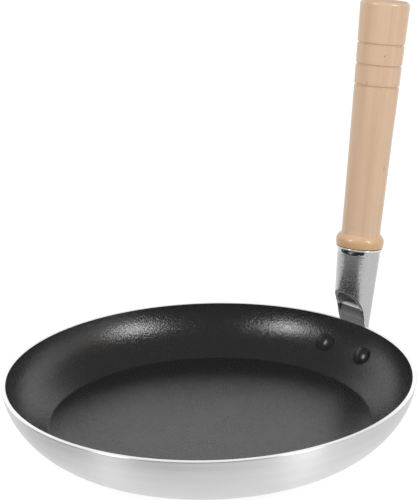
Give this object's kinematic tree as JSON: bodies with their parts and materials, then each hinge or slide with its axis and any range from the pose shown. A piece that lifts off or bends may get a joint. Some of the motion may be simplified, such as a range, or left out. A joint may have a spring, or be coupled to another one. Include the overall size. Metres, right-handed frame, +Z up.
{
  "type": "omelette pan",
  "caption": "Round shallow one-portion pan, black non-stick inside and bare aluminium outside, with an upright turned wooden handle in a flared metal socket riveted to the wall.",
  "frame": {"origin": "centre of the flat underside, on the axis of the round pan", "axes": "+Z up along the pan's axis; +X towards the handle, which leans outward in the XZ plane; +Y to the left when looking along +X"},
  "size_m": [0.192, 0.1648, 0.1621],
  "materials": {
    "aluminium_body": "bright spun outside with fine circular lines, bare flat rim",
    "nonstick": "black non-stick coating with a fine speckled orange-peel sheen",
    "bracket_metal": "polished cast metal, slightly uneven",
    "coated_rivet": "black non-stick coating on the domed heads inside the pan",
    "handle_wood": "pale close-grained wood, clear varnish, dark turned lines",
    "screw_steel": "plain plated steel"
  },
  "bodies": {
    "root": {"pan_body": "aluminium_body", "nonstick_coating": "nonstick", "handle_bracket": "bracket_metal", "rivet_left": "coated_rivet", "rivet_right": "coated_rivet", "wooden_handle": "handle_wood", "handle_screw": "screw_steel"}
  },
  "joints": []
}
